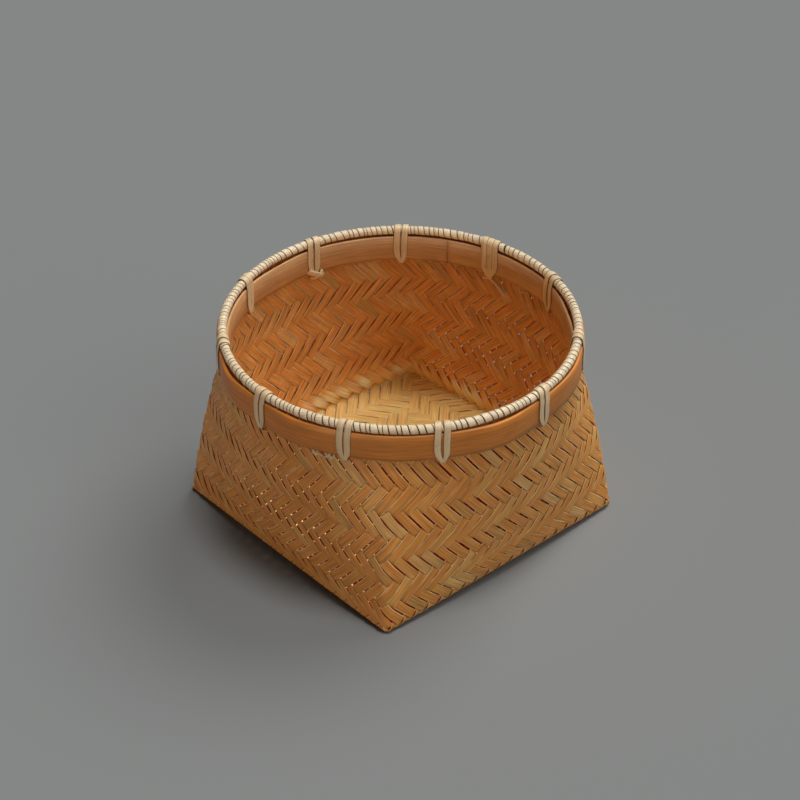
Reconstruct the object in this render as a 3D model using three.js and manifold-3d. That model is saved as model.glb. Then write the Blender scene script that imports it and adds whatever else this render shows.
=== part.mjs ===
import * as THREE from 'three';
import { mergeVertices } from 'three/addons/utils/BufferGeometryUtils.js';
import Module from 'manifold-3d';

// A small plaited bamboo basket: a square foot, walls that rise into a round mouth, and a bound rim.
// Lengths are in millimetres and angles in degrees. The origin is the middle of the underside.

// Plaited body
const footSide = 145.2;
const footCornerRadius = 4;
const footFoldRadius = 2.5;
const plaitThickness = 1;
const wallHeight = 85.5;
const mouthRadius = 82.5;
const wallSwellShare = 0.022;
const wallBlendPower = 0.91;

// Hoops that grip the top of the plait from both sides
const hoopHeight = 12.8;
const innerHoopThickness = 1.25;
const outerHoopThickness = 2.1;
const innerHoopBevel = 0.4;
const outerHoopBevel = 0.8;
const hoopLapLength = 18;
const hoopTipThickness = 0.3;
const innerHoopSeamAzimuth = 122;
const outerHoopSeamAzimuth = 154;

// Rim roll: a cane core with a flat split-cane binder wound round it
const coreRadius = 1.25;
const binderThickness = 0.5;
const binderTurns = 96;
const binderGap = 0.55;
const rollJointAzimuth = 100;
const rollJointGap = 0.6;

// Lashings that tie the roll and both hoops down through holes in the plait
const strandWidth = 2.5;
const strandWidthInHole = 1.3;
const strandThickness = 0.7;
const strandGap = 0.6;
const strandBend = 0.9;
const stitchDrop = 2.9;
const stitchClearance = 0.4;
const lashings = [
  { azimuth: 8, loops: 2 },
  { azimuth: 41, loops: 2 },
  { azimuth: 76, loops: 2 },
  { azimuth: 106, loops: 3 },
  { azimuth: 138, loops: 2 },
  { azimuth: 170, loops: 2 },
  { azimuth: 202, loops: 2 },
  { azimuth: 239, loops: 2 },
  { azimuth: 271.5, loops: 2 },
  { azimuth: 302, loops: 2 },
  { azimuth: 331.5, loops: 2 },
];

// Running fit between pieces that touch on the real basket, and how far a cut overruns
const fitGap = 0.35;
const cutOverrun = 4;

// How finely round shapes are divided
const sideSteps = 16;
const cornerSteps = 4;
const wallSteps = 6;
const foldSteps = 2;
const hoopStepAngle = 5;
const coreSteps = 72;
const stepsPerTurn = 8;
const archSteps = 4;

// Sizes worked out from the ones above
const fullTurn = 360;
const plaitInnerRadius = mouthRadius - plaitThickness;
const innerHoopOuterRadius = plaitInnerRadius - fitGap;
const innerHoopInnerRadius = innerHoopOuterRadius - innerHoopThickness;
const outerHoopInnerRadius = mouthRadius + fitGap;
const outerHoopOuterRadius = outerHoopInnerRadius + outerHoopThickness;
const hoopTop = wallHeight + hoopHeight;
const binderInnerRadius = coreRadius + fitGap;
const rollRadius = binderInnerRadius + binderThickness;
const rollCentreRadius = mouthRadius - plaitThickness / 2;
const rollCentreHeight = hoopTop + fitGap + rollRadius;
const stitchHeight = wallHeight - stitchDrop;

const radians = THREE.MathUtils.degToRad;

function polar(radius, azimuth, height) {
  const a = radians(azimuth);
  return new THREE.Vector3(radius * Math.cos(a), radius * Math.sin(a), height);
}

// A closed solid from points and triangles, turned so that its faces point outwards.
function solidFrom(points, triangles) {
  let sixVolumes = 0;
  for (const [a, b, c] of triangles) {
    sixVolumes += points[a].dot(new THREE.Vector3().crossVectors(points[b], points[c]));
  }
  const faces = sixVolumes < 0 ? triangles.map(([a, b, c]) => [a, c, b]) : triangles;
  const geometry = new THREE.BufferGeometry().setFromPoints(points);
  geometry.setIndex(faces.flat());
  geometry.computeVertexNormals();
  return geometry;
}

// A tube through a row of like sections, each a ring of points, with flat ends.
function tubeThrough(sections) {
  const sides = sections[0].length;
  const triangles = [];
  for (let s = 0; s + 1 < sections.length; s += 1) {
    for (let i = 0; i < sides; i += 1) {
      const j = (i + 1) % sides;
      const here = s * sides;
      const next = here + sides;
      triangles.push([here + i, here + j, next + j]);
      triangles.push([here + i, next + j, next + i]);
    }
  }
  const last = (sections.length - 1) * sides;
  for (let i = 1; i + 1 < sides; i += 1) {
    triangles.push([0, i + 1, i]);
    triangles.push([last, last + i, last + i + 1]);
  }
  return solidFrom(sections.flat(), triangles);
}

// The least distance between parts of a wound strand that are at least half a turn apart,
// measured on the corners of its sections and the middles of the edges between them.
function leastSelfGap(sections, halfTurn) {
  const dotted = sections.map((ring) => {
    const middles = ring.map((p, i) => p.clone().lerp(ring[(i + 1) % ring.length], 1 / 2));
    return [...ring, ...middles];
  });
  let least = Infinity;
  for (let s = 0; s < dotted.length; s += 1) {
    const reach = Math.min(dotted.length, s + 3 * halfTurn);
    for (let other = s + halfTurn; other < reach; other += 1) {
      for (const p of dotted[s]) {
        for (const q of dotted[other]) {
          least = Math.min(least, p.distanceTo(q));
        }
      }
    }
  }
  return least;
}

// Places round the body, by quarter: a straight side and then the corner that follows it.
// Each keeps the same share of the girth on the square foot and on the round mouth.
function girthPlaces() {
  const straight = footSide - 2 * footCornerRadius;
  const arc = (Math.PI / 2) * footCornerRadius;
  const quarter = straight + arc;
  const places = [];
  for (let side = 0; side < 4; side += 1) {
    for (let i = 0; i < sideSteps; i += 1) {
      const along = i / sideSteps;
      const girth = (along - 1 / 2) * straight;
      places.push({ side, along, turn: 0, mouthAzimuth: (side + girth / quarter) * (fullTurn / 4) });
    }
    for (let i = 0; i < cornerSteps; i += 1) {
      const turn = i / cornerSteps;
      const girth = straight / 2 + turn * arc;
      places.push({ side, along: 1, turn, mouthAzimuth: (side + girth / quarter) * (fullTurn / 4) });
    }
  }
  return places;
}

// One level of the body's wall, drawn in by an inset that is the same all round.
function wallRing(height, inset) {
  const level = Math.min(height / wallHeight, 1);
  const roundness = level ** wallBlendPower;
  const swell = 1 + wallSwellShare * Math.sin(Math.PI * level);
  const half = footSide / 2 - inset;
  const corner = Math.max(footCornerRadius - inset, 0);
  const run = half - corner;
  return girthPlaces().map(({ side, along, turn, mouthAzimuth }) => {
    const bend = (turn * Math.PI) / 2;
    const x = run + corner * Math.cos(bend);
    const y = (2 * along - 1) * run + corner * Math.sin(bend);
    const onFoot = new THREE.Vector3(x, y, height);
    onFoot.applyAxisAngle(new THREE.Vector3(0, 0, 1), (side * Math.PI) / 2);
    const onMouth = polar(mouthRadius - inset, mouthAzimuth, height);
    const point = onFoot.lerp(onMouth, roundness);
    return new THREE.Vector3(point.x * swell, point.y * swell, height);
  });
}

// One skin of the body, from the edge of its flat floor up to the rim.
function skinRings(floorHeight, inset, foldRadius) {
  const rings = [];
  for (let i = 0; i < foldSteps; i += 1) {
    const bend = ((i / foldSteps) * Math.PI) / 2;
    const height = floorHeight + foldRadius * (1 - Math.cos(bend));
    rings.push(wallRing(height, inset + foldRadius * (1 - Math.sin(bend))));
  }
  const foldTop = floorHeight + foldRadius;
  for (let i = 0; i <= wallSteps; i += 1) {
    rings.push(wallRing(foldTop + (i / wallSteps) * (wallHeight - foldTop), inset));
  }
  rings.push(wallRing(hoopTop, inset));
  return rings;
}

function bodyShell() {
  const outside = skinRings(0, 0, footFoldRadius);
  const inside = skinRings(plaitThickness, plaitThickness, footFoldRadius - plaitThickness);
  const rings = [...outside, ...inside.reverse()];
  const around = rings[0].length;
  const points = rings.flat();
  const underside = points.push(new THREE.Vector3(0, 0, 0)) - 1;
  const floor = points.push(new THREE.Vector3(0, 0, plaitThickness)) - 1;
  const lastRing = (rings.length - 1) * around;
  const triangles = [];
  for (let i = 0; i < around; i += 1) {
    const j = (i + 1) % around;
    triangles.push([underside, j, i]);
    triangles.push([floor, lastRing + i, lastRing + j]);
    for (let ring = 0; ring + 1 < rings.length; ring += 1) {
      const here = ring * around;
      const next = here + around;
      triangles.push([here + i, here + j, next + j]);
      triangles.push([here + i, next + j, next + i]);
    }
  }
  return solidFrom(points, triangles);
}

const wasm = await Module();
wasm.setup();

function toManifold(geometry) {
  const bare = geometry.clone();
  bare.deleteAttribute('normal');
  bare.deleteAttribute('uv');
  const merged = mergeVertices(bare);
  const mesh = new wasm.Mesh({
    numProp: 3,
    vertProperties: Float32Array.from(merged.attributes.position.array),
    triVerts: Uint32Array.from(merged.index.array),
  });
  return new wasm.Manifold(mesh);
}

function toGeometry(manifold) {
  const { vertProperties, triVerts } = manifold.getMesh();
  const geometry = new THREE.BufferGeometry();
  geometry.setAttribute('position', new THREE.BufferAttribute(Float32Array.from(vertProperties), 3));
  geometry.setIndex(Array.from(triVerts));
  geometry.computeVertexNormals();
  return geometry;
}

// Where the strands of one lashing pass through its hole, side by side: one pass more than loops.
function passSpacing() {
  return strandWidthInHole + strandGap;
}

function stitchHole({ azimuth, loops }) {
  const width = loops * passSpacing() + strandWidthInHole + 2 * stitchClearance;
  const height = strandThickness + 2 * stitchClearance;
  const cut = new THREE.BoxGeometry(plaitThickness + 2 * cutOverrun, width, height);
  cut.rotateZ(radians(azimuth));
  const middle = polar(rollCentreRadius, azimuth, stitchHeight);
  cut.translate(middle.x, middle.y, middle.z);
  return cut;
}

function wovenBody() {
  let body = toManifold(bodyShell());
  for (const lashing of lashings) {
    body = body.subtract(toManifold(stitchHole(lashing)));
  }
  return toGeometry(body);
}

// A hoop is one bamboo strip bent round, whose two ends taper and lap over each other.
// It is listed as places round it, each with the inner and outer radius there.
function hoopPlaces(inner, outer, seamAzimuth) {
  const middle = (inner + outer) / 2;
  const lap = THREE.MathUtils.radToDeg(hoopLapLength / middle);
  const clear = THREE.MathUtils.radToDeg((2 * fitGap) / middle);
  const lapRise = outer - inner - 2 * hoopTipThickness - fitGap;
  const lapSteps = Math.ceil(lap / hoopStepAngle);
  const places = [];
  for (let i = 0; i <= lapSteps; i += 1) {
    const share = i / lapSteps;
    const face = inner + hoopTipThickness + share * lapRise;
    places.push({ azimuth: seamAzimuth + share * lap, inner, outer: face });
  }
  const first = seamAzimuth + lap + clear;
  const last = seamAzimuth + fullTurn - clear;
  const steps = Math.round((last - first) / hoopStepAngle);
  for (let i = 0; i <= steps; i += 1) {
    places.push({ azimuth: first + (i / steps) * (last - first), inner, outer });
  }
  for (let i = 0; i <= lapSteps; i += 1) {
    const share = i / lapSteps;
    const face = inner + hoopTipThickness + fitGap + share * lapRise;
    places.push({ azimuth: seamAzimuth + fullTurn + share * lap, inner: face, outer });
  }
  return places;
}

// The hoop's section is a flat band whose upper edge is bevelled on the side of the mouth.
function hoop(innerRadius, outerRadius, seamAzimuth, bevel) {
  const sections = hoopPlaces(innerRadius, outerRadius, seamAzimuth).map(({ azimuth, inner, outer }) => {
    const ease = (bevel * (outer - inner)) / (outerRadius - innerRadius);
    return [
      polar(inner, azimuth, wallHeight),
      polar(outer, azimuth, wallHeight),
      polar(outer, azimuth, hoopTop),
      polar(inner + ease, azimuth, hoopTop),
      polar(inner, azimuth, hoopTop - ease),
    ];
  });
  return tubeThrough(sections);
}

// A point on the rim roll: an azimuth round the basket, an angle round the roll and a depth in it.
function onRoll(azimuth, angleRound, depthRadius) {
  const a = radians(angleRound);
  const radius = rollCentreRadius + depthRadius * Math.cos(a);
  return polar(radius, azimuth, rollCentreHeight + depthRadius * Math.sin(a));
}

// The core is a cane bent into a ring, its two ends butted at the roll's joint.
// It has as many sides as the binder has steps, so that the binder lies evenly on it.
function rimCore() {
  const jointAngle = THREE.MathUtils.radToDeg(rollJointGap / rollCentreRadius);
  const first = rollJointAzimuth + jointAngle / 2;
  const span = fullTurn - jointAngle;
  const sections = [];
  for (let s = 0; s <= coreSteps; s += 1) {
    const azimuth = first + (s / coreSteps) * span;
    const ring = [];
    for (let i = 0; i < stepsPerTurn; i += 1) {
      ring.push(onRoll(azimuth, (i / stepsPerTurn) * fullTurn, coreRadius));
    }
    sections.push(ring);
  }
  return tubeThrough(sections);
}

// The binder winds round the core in one unbroken strip, from one side of the joint to the other.
function binderSections() {
  const jointAngle = THREE.MathUtils.radToDeg(rollJointGap / rollCentreRadius);
  const turnAngle = (fullTurn - jointAngle) / (binderTurns + 1);
  const gapAngle = THREE.MathUtils.radToDeg(binderGap / rollCentreRadius);
  const halfWidth = (turnAngle - gapAngle) / 2;
  const first = rollJointAzimuth + (jointAngle + turnAngle) / 2;
  const sections = [];
  for (let s = 0; s <= binderTurns * stepsPerTurn; s += 1) {
    const turns = s / stepsPerTurn;
    const azimuth = first + turns * turnAngle;
    const angleRound = -turns * fullTurn;
    sections.push([
      onRoll(azimuth - halfWidth, angleRound, binderInnerRadius),
      onRoll(azimuth + halfWidth, angleRound, binderInnerRadius),
      onRoll(azimuth + halfWidth, angleRound, rollRadius),
      onRoll(azimuth - halfWidth, angleRound, rollRadius),
    ]);
  }
  return sections;
}

// One loop of a lashing, from the inside mouth of the hole up, over the roll and down outside.
// Each stop has a radius, a height and how far it has opened out from the hole's narrow spacing.
function loopStops() {
  const legInside = innerHoopInnerRadius - fitGap - strandThickness / 2;
  const legOutside = outerHoopOuterRadius + fitGap + strandThickness / 2;
  const archRadius = rollRadius + fitGap + strandThickness / 2;
  const topShare = (hoopTop - stitchHeight) / (rollCentreHeight - stitchHeight);
  const bendShare = strandBend / (rollCentreHeight - stitchHeight);
  const stops = [
    { radius: legInside + strandBend, height: stitchHeight, open: 0 },
    { radius: legInside, height: stitchHeight + strandBend, open: bendShare },
    { radius: legInside, height: hoopTop, open: topShare },
  ];
  for (let i = 0; i <= archSteps; i += 1) {
    const a = Math.PI * (1 - i / archSteps);
    const radius = rollCentreRadius + archRadius * Math.cos(a);
    stops.push({ radius, height: rollCentreHeight + archRadius * Math.sin(a), open: 1 });
  }
  stops.push({ radius: legOutside, height: hoopTop, open: topShare });
  stops.push({ radius: legOutside, height: stitchHeight + strandBend, open: bendShare });
  stops.push({ radius: legOutside - strandBend, height: stitchHeight, open: 0 });
  return stops;
}

// The whole run of a lashing: in through the hole, its loops, and in through the hole again.
// It steps sideways on the way down outside, so each pass lies beside the last.
function lashingStops(loops) {
  const stops = loopStops();
  const archPitch = strandWidth + strandGap;
  const passOffset = (pass) => (pass - loops / 2) * passSpacing();
  const archOffset = (loop) => (loop - (loops - 1) / 2) * archPitch;
  const run = [{ ...stops[stops.length - 1], sideways: passOffset(0) }];
  for (let loop = 0; loop < loops; loop += 1) {
    stops.forEach((stop, i) => {
      const pass = i < stops.length / 2 ? loop : loop + 1;
      const sideways = THREE.MathUtils.lerp(passOffset(pass), archOffset(loop), stop.open);
      run.push({ ...stop, sideways });
    });
  }
  run.push({ ...stops[0], sideways: passOffset(loops) });
  return run;
}

// The strand is half-round split cane: flat towards the hoops and crowned outside.
const crown = [
  { acrossShare: -1, outShare: -1 },
  { acrossShare: 1, outShare: -1 },
  { acrossShare: 1, outShare: 0.2 },
  { acrossShare: 0, outShare: 1 },
  { acrossShare: -1, outShare: 0.2 },
];

function lashingSections({ azimuth, loops }) {
  const run = lashingStops(loops);
  const flat = run.map(({ radius, height }) => new THREE.Vector2(radius, height));
  return run.map(({ radius, height, open, sideways }, i) => {
    const before = flat[i].clone().sub(flat[Math.max(i - 1, 0)]).normalize();
    const after = flat[Math.min(i + 1, flat.length - 1)].clone().sub(flat[i]).normalize();
    const along = before.clone().add(after).normalize();
    const mitre = 1 / Math.max(along.dot(i === 0 ? after : before), 1 / 2);
    const out = new THREE.Vector2(-along.y, along.x);
    const turned = azimuth + THREE.MathUtils.radToDeg(sideways / rollCentreRadius);
    const across = polar(1, turned + fullTurn / 4, 0);
    const halfWidth = THREE.MathUtils.lerp(strandWidthInHole, strandWidth, open) / 2;
    return crown.map(({ acrossShare, outShare }) => {
      const lift = (outShare * strandThickness * mitre) / 2;
      const point = polar(radius + lift * out.x, turned, height + lift * out.y);
      return point.addScaledVector(across, acrossShare * halfWidth);
    });
  });
}

const plait = new THREE.MeshStandardMaterial({ color: 0xb8803f, roughness: 0.6, metalness: 0 });
const innerBand = new THREE.MeshStandardMaterial({ color: 0xa8714e, roughness: 0.55, metalness: 0 });
const outerBand = new THREE.MeshStandardMaterial({ color: 0xb4763a, roughness: 0.5, metalness: 0 });
const cane = new THREE.MeshStandardMaterial({ color: 0xc9a878, roughness: 0.7, metalness: 0 });
const splitCane = new THREE.MeshStandardMaterial({ color: 0xe0cba6, roughness: 0.6, metalness: 0 });

const basket = new THREE.Group();

function addPiece(name, geometry, material) {
  const piece = new THREE.Mesh(geometry, material.clone());
  piece.name = name;
  basket.add(piece);
}

addPiece('woven_body', wovenBody(), plait);
const innerHoop = hoop(innerHoopInnerRadius, innerHoopOuterRadius, innerHoopSeamAzimuth, innerHoopBevel);
addPiece('inner_hoop', innerHoop, innerBand);
const outerHoop = hoop(outerHoopInnerRadius, outerHoopOuterRadius, outerHoopSeamAzimuth, outerHoopBevel);
addPiece('outer_hoop', outerHoop, outerBand);
addPiece('rim_core', rimCore(), cane);

const binder = binderSections();
addPiece('rim_binder', tubeThrough(binder), splitCane);
const binderLeast = leastSelfGap(binder, stepsPerTurn / 2);
console.log(`rim_binder: least gap to itself ${binderLeast.toFixed(2)} mm`);

lashings.forEach((lashing, i) => {
  const name = `lashing_${String(i + 1).padStart(2, '0')}`;
  const sections = lashingSections(lashing);
  addPiece(name, tubeThrough(sections), splitCane);
  const least = leastSelfGap(sections, Math.floor(loopStops().length / 2));
  console.log(`${name}: least gap to itself ${least.toFixed(2)} mm`);
});

export default basket;
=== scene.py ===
"""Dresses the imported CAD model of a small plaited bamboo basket, and lights it on a plain floor."""

import math
import random

import bpy
import numpy as np
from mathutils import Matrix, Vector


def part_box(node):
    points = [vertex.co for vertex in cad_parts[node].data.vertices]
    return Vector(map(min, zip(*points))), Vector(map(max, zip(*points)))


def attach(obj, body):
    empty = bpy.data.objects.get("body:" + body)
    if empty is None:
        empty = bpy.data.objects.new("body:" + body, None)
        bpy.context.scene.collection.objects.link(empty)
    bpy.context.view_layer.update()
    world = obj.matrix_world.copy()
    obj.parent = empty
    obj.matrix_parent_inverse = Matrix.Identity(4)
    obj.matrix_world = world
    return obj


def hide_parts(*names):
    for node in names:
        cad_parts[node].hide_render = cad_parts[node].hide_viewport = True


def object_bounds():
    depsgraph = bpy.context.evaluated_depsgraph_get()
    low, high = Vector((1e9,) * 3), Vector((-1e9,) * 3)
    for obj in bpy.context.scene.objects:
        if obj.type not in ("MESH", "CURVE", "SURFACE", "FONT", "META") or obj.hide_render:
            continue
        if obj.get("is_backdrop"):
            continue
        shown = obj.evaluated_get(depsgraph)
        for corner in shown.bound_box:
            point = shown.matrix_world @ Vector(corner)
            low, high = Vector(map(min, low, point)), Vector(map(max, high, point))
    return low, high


bl_info = {
    "name": "Plaited Basket",
    "version": (1, 0, 0),
    "blender": (4, 5, 0),
    "location": "View3D > Sidebar > Basket",
    "description": "Plaits, hoops, binds and lashes a bamboo basket round its CAD frame",
    "category": "Object",
}

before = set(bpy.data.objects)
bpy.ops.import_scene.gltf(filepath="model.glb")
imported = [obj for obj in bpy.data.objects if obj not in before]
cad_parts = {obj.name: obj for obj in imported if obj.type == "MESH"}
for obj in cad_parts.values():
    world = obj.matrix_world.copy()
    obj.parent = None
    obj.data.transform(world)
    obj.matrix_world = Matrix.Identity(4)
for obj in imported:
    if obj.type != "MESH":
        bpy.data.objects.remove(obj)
cad_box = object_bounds()

MM = 0.001
TURN = 2 * math.pi
BODY = "root"

# Places that the frame gives
HOOP_LOW, HOOP_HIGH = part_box("outer_hoop")
BINDER_LOW, BINDER_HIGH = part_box("rim_binder")
PLAIT_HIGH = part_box("woven_body")[1]
ROLL_RADIUS = (BINDER_HIGH.z - BINDER_LOW.z) / 2
ROLL_HEIGHT = (BINDER_HIGH.z + BINDER_LOW.z) / 2
LASHING_NODES = sorted(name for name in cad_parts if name.startswith("lashing"))

# The CAD model's plait is this thick, and the roll runs over its middle
CAD_PLAIT = 1 * MM
MOUTH_RADIUS = PLAIT_HIGH.x - CAD_PLAIT / 2

# The camera's place in metres, its dip below level and its turn in degrees
CAMERA_PLACE = (0.71495, -0.63049, 0.74538)
CAMERA_DIP = 35.81
CAMERA_TURN = 48.6

# How far the hoops bow outwards between each lashing and the next, in millimetres
INNER_BOWS = (-0.2, -1.2, -0.3, -0.2, -0.2, -1.0, -0.3, -0.2, -0.1, -0.1, -0.2)
OUTER_BOWS = (0.7, 0.3, 0.3, 0.3, 0.3, 0.3, 0.4, 1.8, 0.9, 0.1, 1.6)
# Each hoop's slot, the azimuth of its seam in degrees, its place in the grain's noise, and its bows
HOOPS = {
    "inner_hoop": ("inner_band", 122, 0.3, INNER_BOWS),
    "outer_hoop": ("outer_band", 154, 0.7, OUTER_BOWS),
}

# Each kind of strip: its lift over the others, how far it wanders, tilts and changes its breadth, the
# powers that round its edges and its face, the corners of its section, and the seed of its unevenness
STRIP_SIZES = ("Lift", "Wander", "Tilt", "Unevenness", "Face Edge", "Back Edge", "Crown", "Corners", "Seed")
STRIPS = {
    "splint": (0.33 * MM, 0.14 * MM, 0.03, 0.05, 0.23, 0.18, 1.3, 8, 11),
    "binder": (0.0, 0.0, 0.05, 0.03, 0.45, 0.2, 0.6, 8, 2),
    "strand": (0.0, 0.06 * MM, 0.04, 0.03, 0.8, 0.4, 0.8, 10, 30),
    "scrap": (0.0, 0.0, 0.3, 0.2, 0.6, 0.4, 0.8, 8, 4),
}

# The lashing with three loops, whose slant runs the other way, and how far each lashing slants
TRIPLE_LASHING = 3
LASHING_SLANT = 0.8 * MM

# Loose ends of cane: the breadth in millimetres, then azimuths in degrees, heights and depths inside the
# plait's middle in millimetres, where a depth below 0 lies outside
LOOSE_ENDS = (
    (1.3, ((107.4, 84.2, 2.4), (105.6, 82, 1.7), (103.0, 79.6, 1.5), (100.6, 77.6, 1.7), (98.7, 76.2, 2.3))),
    (1.0, ((104.2, 84.6, 2.6), (105.4, 82.8, 2.4), (107.0, 81.6, 1.8), (108.4, 81.2, 1.3))),
    (3.0, ((173.0, 87.2, 3.2), (171.0, 85.4, 3.5), (168.8, 83.6, 3.0), (166.8, 82.0, 1.6))),
    (1.6, ((167.4, 86.2, 3.0), (168.4, 84.4, 4.0), (170.2, 82.8, 3.4), (171.6, 82.0, 1.6))),
    (1.4, ((290.6, 85.4, -1.6), (291.6, 83.6, -2.2), (292.0, 82.0, -1.8))),
    (1.1, ((292.2, 85.6, -1.5), (292.8, 84.0, -2.4), (294.2, 82.6, -1.9))),
    (0.9, ((293.4, 85.4, -1.8), (292.6, 83.6, -2.4), (291.0, 82.9, -2.0))),
    (1.5, ((295.2, 85.5, -1.6), (296.0, 84.2, -2.4), (297.8, 83.0, -1.9))),
    (1.0, ((297.2, 85.6, -1.7), (296.6, 84.0, -2.6), (295.2, 82.4, -1.8))),
    (0.8, ((298.4, 85.4, -1.8), (298.2, 83.8, -2.3), (297.0, 82.2, -1.9))),
)


def srgb(code):
    """The linear colour, with alpha, of an sRGB hex value."""
    parts = [int(code[i : i + 2], 16) / 255 for i in (1, 3, 5)]
    return (*[p / 12.92 if p <= 0.04045 else ((p + 0.055) / 1.055) ** 2.4 for p in parts], 1.0)


def add(tree, kind, inputs=None, **settings):
    """Adds a node, makes its settings, and gives its inputs values or the sockets they come from."""
    node = tree.nodes.new(kind)
    for name, value in settings.items():
        setattr(node, name, value)
    for key, value in (inputs or {}).items():
        if isinstance(key, int):
            socket = node.inputs[key]
        else:
            socket = next(s for s in node.inputs if key in (s.identifier, s.name))
        if isinstance(value, bpy.types.NodeSocket):
            tree.links.new(value, socket)
        else:
            socket.default_value = value
    return node


def makers(tree):
    """Functions that add a node and give its first output: any node, and sums on numbers and on vectors."""

    def out(kind, inputs=None, **settings):
        return add(tree, kind, inputs, **settings).outputs[0]

    def math_of(operation, *values, **settings):
        return out("ShaderNodeMath", dict(enumerate(values)), operation=operation, **settings)

    def vector_of(operation, *values, **named):
        return out("ShaderNodeVectorMath", {**dict(enumerate(values)), **named}, operation=operation)

    return out, math_of, vector_of


def setting(name, description, default, **limits):
    """A number that a user can change, whole where its default is."""
    kind = bpy.props.IntProperty if isinstance(default, int) else bpy.props.FloatProperty
    return kind(name=name, description=description, default=default, **limits)


def length(name, description, millimetres):
    """A length that a user can change, with its default in millimetres."""
    return setting(name, description, millimetres * MM, unit="LENGTH", precision=5)


def colour(name, description, code):
    """A colour that a user can change, with its default as an sRGB hex value."""
    return bpy.props.FloatVectorProperty(
        name=name, description=description, default=srgb(code), size=4, subtype="COLOR", min=0, max=1
    )


class PlaitSettings(bpy.types.PropertyGroup):
    """Sizes and colours of the plaited body."""

    splints: setting("Splints", "Splints each way across the floor", 40, min=8)
    float_rows: setting("Float", "Splints that one passes over, then under", 3, min=1)
    pitch: length("Pitch", "From one splint's middle to the next", 5.08)
    width: length("Width", "Width of a splint", 4.66)
    thickness: length("Thickness", "Thickness of a splint", 0.54)
    foot_side: length("Foot Side", "Side of the square foot in mid-plait", 144.2)
    corner: length("Corner", "Radius of the foot's corners in mid-plait", 3.5)
    fold: length("Fold", "Radius of the bend from floor to wall in mid-plait", 2.2)
    bow: length("Bow", "How far the foot's sides bow outwards", 2.3)
    rise: length("Rise", "How far the foot's edges rise off the ground", 3.0)
    swell: setting("Swell", "How far the wall swells at half its height", 0.022, subtype="FACTOR")
    rounding: setting("Rounding", "Power by which the square turns round", 0.91)
    honey: colour("Honey", "Usual colour of the splints", "#e69c48")
    straw: colour("Straw", "Colour of paler splints", "#eaaa58")
    pale: colour("Pale", "Colour of the few palest splints", "#e7b26c")
    # Paler bars where splints bridge the fold: partly wear, partly a painted highlight
    worn_and_highlit: colour("Worn", "Colour of splints rubbed bare where they bridge the fold", "#ffe8bc")
    # Paler floor inside: painted light on the inner floor
    painted_floor_light: colour("Trodden", "Colour of the floor inside, rubbed by its load", "#ffce7c")
    # Darker, redder faces under other splints and upright sides: painted shade in the slits
    slit_shade: colour("Hidden", "Colour of the dusty faces under other splints", "#8c380c")
    # Paler split edges: partly cut fibres, partly a painted highlight along the edges
    cut: colour("Cut Edge", "Colour of the splints' split edges", "#ffdca6")
    green: colour("Green", "Colour of splints that kept a trace of green", "#d09c52")


class RimSettings(bpy.types.PropertyGroup):
    """Sizes and colours of the hoops, the bound roll and the lashings."""

    inner_thickness: length("Inner Hoop", "Thickness of the inner hoop", 1.25)
    outer_thickness: length("Outer Hoop", "Thickness of the outer hoop", 1.7)
    stand_off: length("Stand-off", "Dark gap between the plait and the outer hoop", 0.45)
    proud: length("Proud", "How far the outer hoop stands above the inner one", 0.4)
    crevice: length("Crevice", "Dark gap between the plait and the inner hoop", 0.5)
    lap: length("Lap", "Length over which a hoop's two ends lap", 18)
    fit: length("Fit", "Fit between the hoops and the plait", 0.35)
    binder_turns: setting("Binder Turns", "Turns of the binder round the roll", 180, min=20)
    binder_thickness: length("Binder", "Thickness of the binder", 0.42)
    strand_width: length("Strand Width", "Width of a lashing strand over the roll", 3.2)
    strand_thickness: length("Strand", "Thickness of a lashing strand", 0.6)
    cane: colour("Split Cane", "Colour of the binder round the roll", "#f6deb8")
    lashing: colour("Lashing Cane", "Colour of the lashings", "#eed0a4")
    speck: colour("Specks", "Colour of small marks on the cane", "#a08a5c")
    core: colour("Core", "Colour of the raw cane inside the roll", "#5a3c20")
    inner_tan: colour("Inner Hoop Tan", "Colour of the inner hoop", "#d5a06c")
    outer_tan: colour("Outer Hoop Tan", "Colour of the outer hoop", "#d38230")


class StageSettings(bpy.types.PropertyGroup):
    """Camera, floor and light."""

    lens: setting("Lens", "Focal length", 112.26, unit="CAMERA")
    floor: colour("Floor", "Colour of the floor and the backdrop", "#888a89")
    key: setting("Key Light", "Strength of the key light, behind", 1.5)
    side: setting("Side Light", "Strength of the light from the side", 0.64)
    top: setting("Top Light", "Strength of the light from above", 1.2)
    front: setting("Front Light", "Strength of the light in front", 0.49)
    fill: setting("Fill Light", "Strength of the light from all round", 0.04)


def leans_left(along, across):
    """Whether a splint of the first way leans left on the wall, seen from outside."""
    return (along > 0) == (across > 0)


def eased(share):
    """A share from 0 to 1 that starts and ends gently."""
    return share * share * (3 - 2 * share)


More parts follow.
